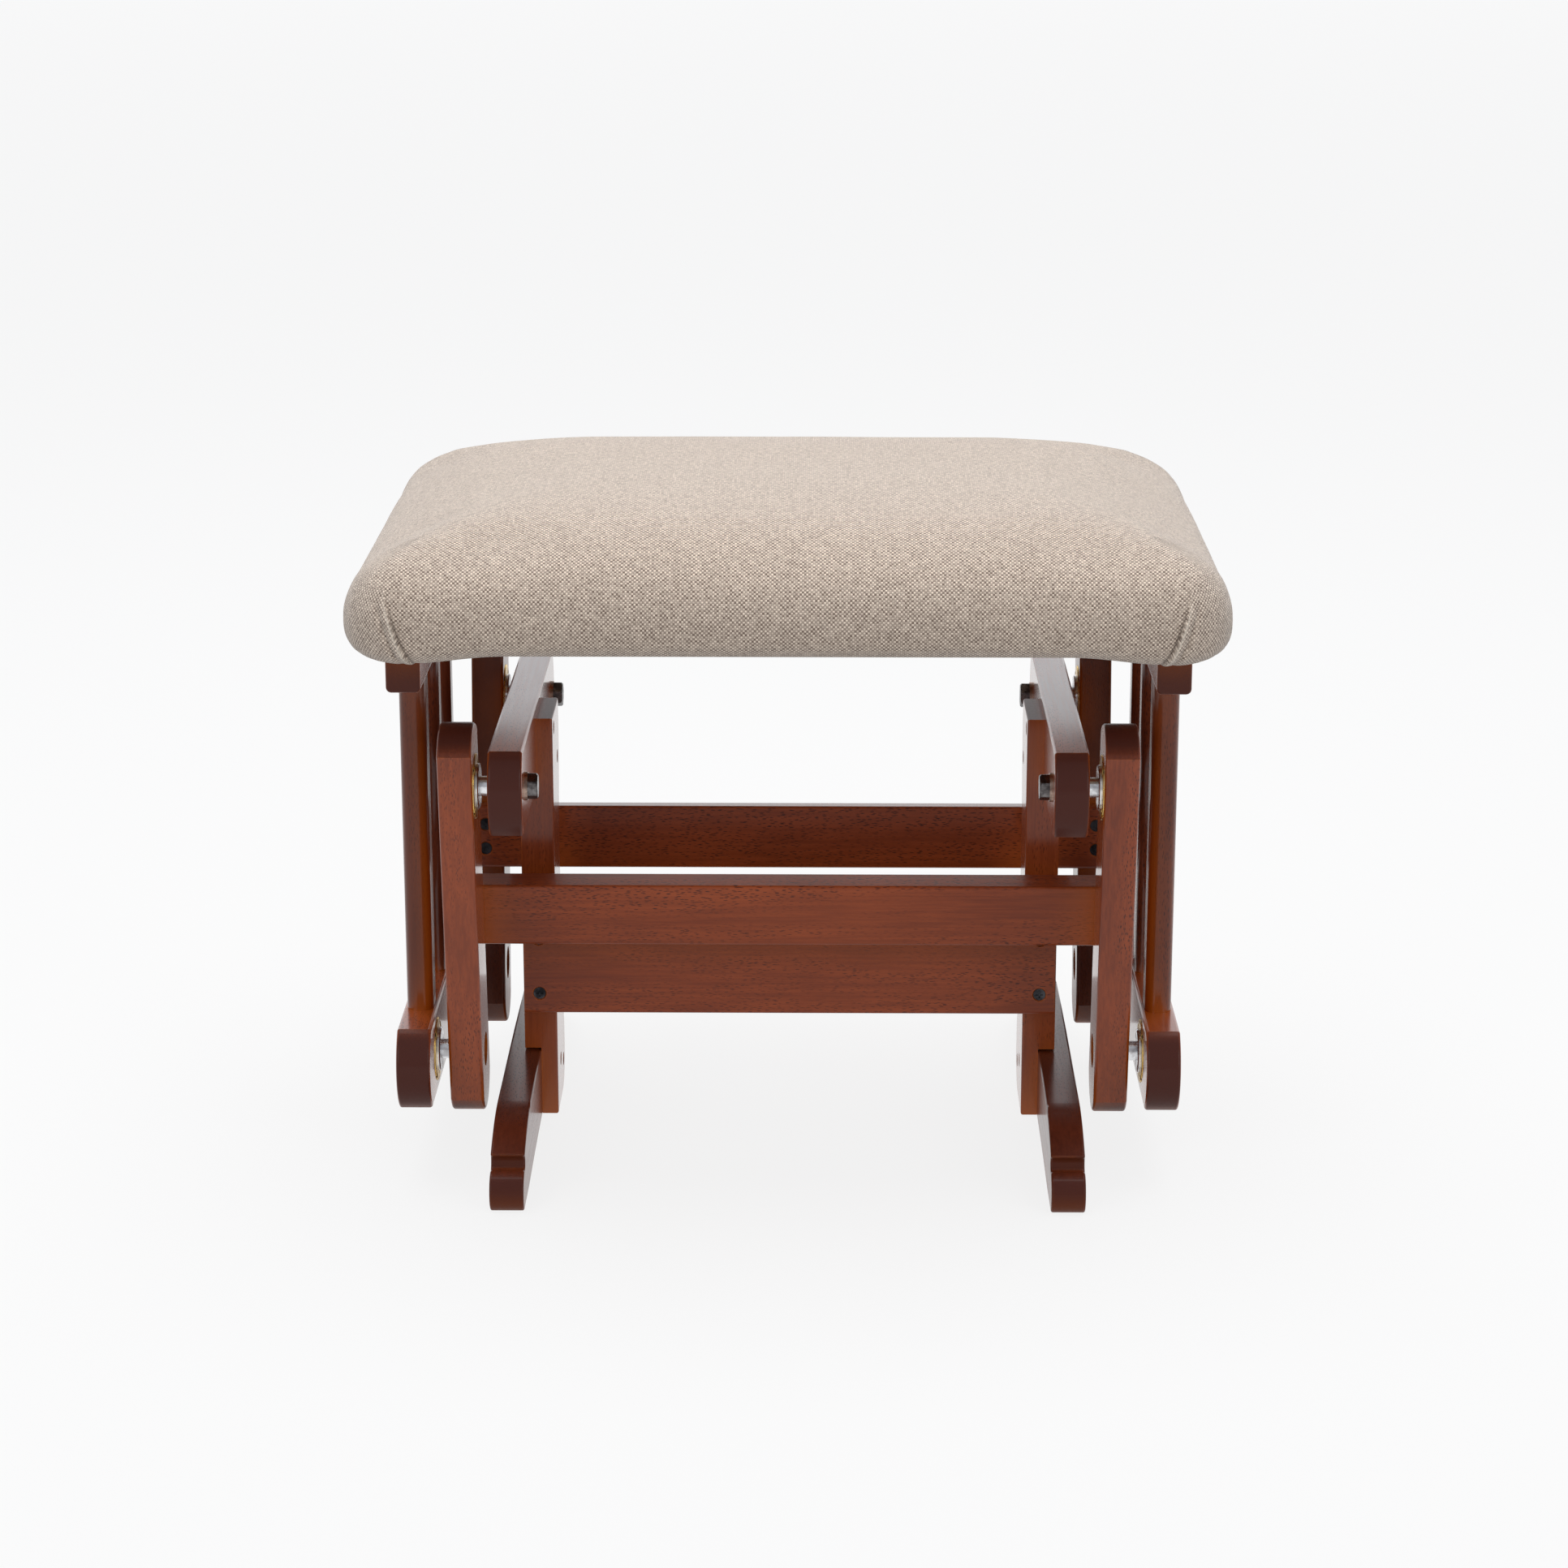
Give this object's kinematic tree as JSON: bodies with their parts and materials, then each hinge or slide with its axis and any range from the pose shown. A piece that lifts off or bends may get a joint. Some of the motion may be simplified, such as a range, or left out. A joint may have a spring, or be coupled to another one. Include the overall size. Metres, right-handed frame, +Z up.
{
  "type": "glider footstool",
  "caption": "Gliding footstool: a padded fabric seat on slatted side frames, hung on four leaning wooden arms from a fixed stand with two long feet.",
  "frame": {"origin": "on the floor under the centre of the stool", "axes": "+X across the stool to the right as seen from the front, -Y to the front, +Z up"},
  "size_m": [0.477, 0.35, 0.388],
  "materials": {
    "stained_wood": "dark cherry stain under satin lacquer",
    "black_steel": "black oxide",
    "dark_washer": "plain steel",
    "yellow_zinc": "yellow zinc plate",
    "bright_steel": "bright zinc plate",
    "plywood": "raw plywood",
    "foam": "open-cell foam",
    "woven_fabric": "beige basket weave"
  },
  "bodies": {
    "stand": {"base_rail_left": "stained_wood", "base_rail_right": "stained_wood", "leg_left": "stained_wood", "leg_right": "stained_wood", "foot_left": "stained_wood", "foot_right": "stained_wood", "front_stretcher": "stained_wood", "rear_stretcher": "stained_wood", "stretcher_screws": "black_steel", "leg_screws": "black_steel", "upper_pivot_bolts": "black_steel", "upper_pivot_washers": "dark_washer", "upper_pivot_sleeves": "bright_steel"},
    "front_arms": {"front_arm_left": "stained_wood", "front_arm_right": "stained_wood", "front_arm_flange_left": "yellow_zinc", "front_arm_flange_right": "yellow_zinc", "front_arm_bearing_left": "bright_steel", "front_arm_bearing_right": "bright_steel", "front_cross_board": "stained_wood", "front_cross_board_screws": "black_steel", "front_arm_flange_screws": "black_steel", "front_lower_bolts": "black_steel", "front_lower_sleeves": "bright_steel"},
    "rear_arms": {"rear_arm_left": "stained_wood", "rear_arm_right": "stained_wood", "rear_arm_flange_left": "yellow_zinc", "rear_arm_flange_right": "yellow_zinc", "rear_arm_bearing_left": "bright_steel", "rear_arm_bearing_right": "bright_steel", "rear_cross_board": "stained_wood", "rear_cross_board_screws": "black_steel", "rear_arm_flange_screws": "black_steel", "rear_lower_bolts": "black_steel", "rear_lower_sleeves": "bright_steel"},
    "seat": {"seat_lower_rail_left": "stained_wood", "seat_lower_rail_right": "stained_wood", "seat_upper_rail_left": "stained_wood", "seat_upper_rail_right": "stained_wood", "slat_front_left": "stained_wood", "slat_front_right": "stained_wood", "slat_middle_left": "stained_wood", "slat_middle_right": "stained_wood", "slat_rear_left": "stained_wood", "slat_rear_right": "stained_wood", "seat_flange_front_left": "yellow_zinc", "seat_flange_front_right": "yellow_zinc", "seat_flange_rear_left": "yellow_zinc", "seat_flange_rear_right": "yellow_zinc", "seat_bearing_front_left": "bright_steel", "seat_bearing_front_right": "bright_steel", "seat_bearing_rear_left": "bright_steel", "seat_bearing_rear_right": "bright_steel", "front_batten": "stained_wood", "rear_batten": "stained_wood", "seat_screws": "black_steel", "seat_board": "plywood", "cushion_foam": "foam", "cushion_cover": "woven_fabric", "seat_flange_screws": "black_steel"}
  },
  "joints": [
    {"name": "glide", "type": "hinge", "parent": "stand", "child": "front_arms", "pos_m": [0, -0.1035, 0.2265], "axis": [1, 0, 0], "range_deg": [-10, 10]},
    {"name": "rear_arm_swing", "type": "hinge", "parent": "stand", "child": "rear_arms", "pos_m": [0, 0.1035, 0.2265], "axis": [1, 0, 0], "range_deg": [-10, 10]},
    {"name": "seat_tilt", "type": "hinge", "parent": "front_arms", "child": "seat", "pos_m": [0, -0.0785, 0.0645], "axis": [1, 0, 0], "range_deg": [-13.2, 13.2]}
  ],
  "couplings": [
    {"joint": "rear_arm_swing", "follows": "glide", "ratio": 1},
    {"joint": "seat_tilt", "follows": "glide", "ratio": -1.315}
  ]
}
